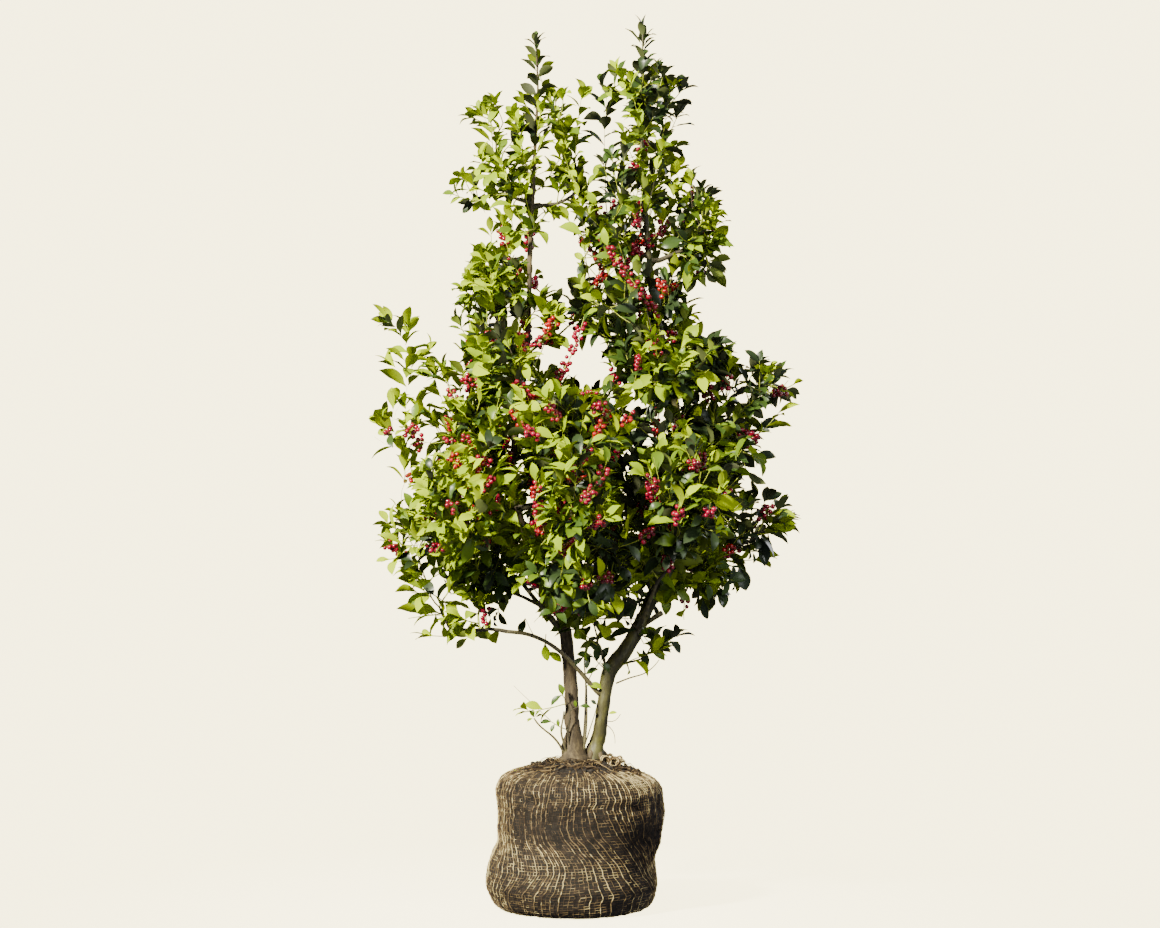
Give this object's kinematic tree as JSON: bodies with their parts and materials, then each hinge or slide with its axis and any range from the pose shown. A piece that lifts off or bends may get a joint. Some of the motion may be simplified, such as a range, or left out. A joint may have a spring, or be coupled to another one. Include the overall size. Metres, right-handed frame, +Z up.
{
  "type": "root-balled holly shrub",
  "caption": "Young evergreen holly with an open, upright crown and red berries, standing on its burlap-wrapped root ball.",
  "frame": {"origin": "middle of the root ball's flat underside", "axes": "+Z up along the plant, +X to the plant's right as its front is looked at, the two stems side by side along X, -Y the front"},
  "size_m": [0.8629, 0.8007, 1.7635],
  "materials": {
    "soil": "dark damp soil, packed firm and lumpy",
    "burlap": "open-weave jute, straw coloured and soil stained",
    "bark_grey": "grey-brown bark, fine cracks and lenticels",
    "bark_green": "smooth olive-green bark with grey blotches",
    "bark_bough": "thin smooth bark, olive to dark brown",
    "leaf": "leathery, waxy gloss above, dull and paler below",
    "berry": "glossy red skin"
  },
  "bodies": {
    "root": {"root_ball": "soil", "burlap_knot": "burlap", "burlap_edge": "burlap", "stem_left": "bark_grey", "stem_right": "bark_green", "leaves_left_tip": "leaf", "leaves_left_top_outer": "leaf", "leaves_left_top_inner": "leaf", "leaves_left_upper": "leaf", "leaves_left_bridge": "leaf", "leaves_left_neck": "leaf", "leaves_left_middle": "leaf", "leaves_left_lower_middle": "leaf", "leaves_middle_bridge": "leaf", "leaves_right_tip": "leaf", "leaves_right_top": "leaf", "leaves_right_upper": "leaf", "leaves_right_shoulder": "leaf", "leaves_right_window": "leaf", "leaves_right_middle": "leaf", "leaves_right_lower_middle": "leaf", "leaves_far_left_top": "leaf", "leaves_far_left": "leaf", "leaves_left_lower": "leaf", "leaves_low_left": "leaf", "leaves_low_left_inner": "leaf", "leaves_low_left_hanging": "leaf", "leaves_heart": "leaf", "leaves_front_upper": "leaf", "leaves_front_lower": "leaf", "leaves_front_far": "leaf", "leaves_front_left": "leaf", "leaves_front_right": "leaf", "leaves_back_upper": "leaf", "leaves_back_lower": "leaf", "leaves_back_far": "leaf", "leaves_back_left": "leaf", "leaves_back_right": "leaf", "leaves_far_right_top": "leaf", "leaves_right_crown": "leaf", "leaves_far_right_low": "leaf", "leaves_right_lower": "leaf", "leaves_right_hanging": "leaf", "leaves_between_stems": "leaf", "leaves_basal_leaves": "leaf", "bough_low_left": "bark_bough", "bough_left_second": "bark_bough", "bough_low_right": "bark_bough", "bough_fork": "bark_bough", "bough_front_left": "bark_bough", "bough_front_right": "bark_bough", "bough_back_left": "bark_bough", "bough_back_right": "bark_bough", "shoot_left": "bark_bough", "shoot_upright": "bark_bough", "shoot_middle": "bark_bough"}
  },
  "joints": []
}
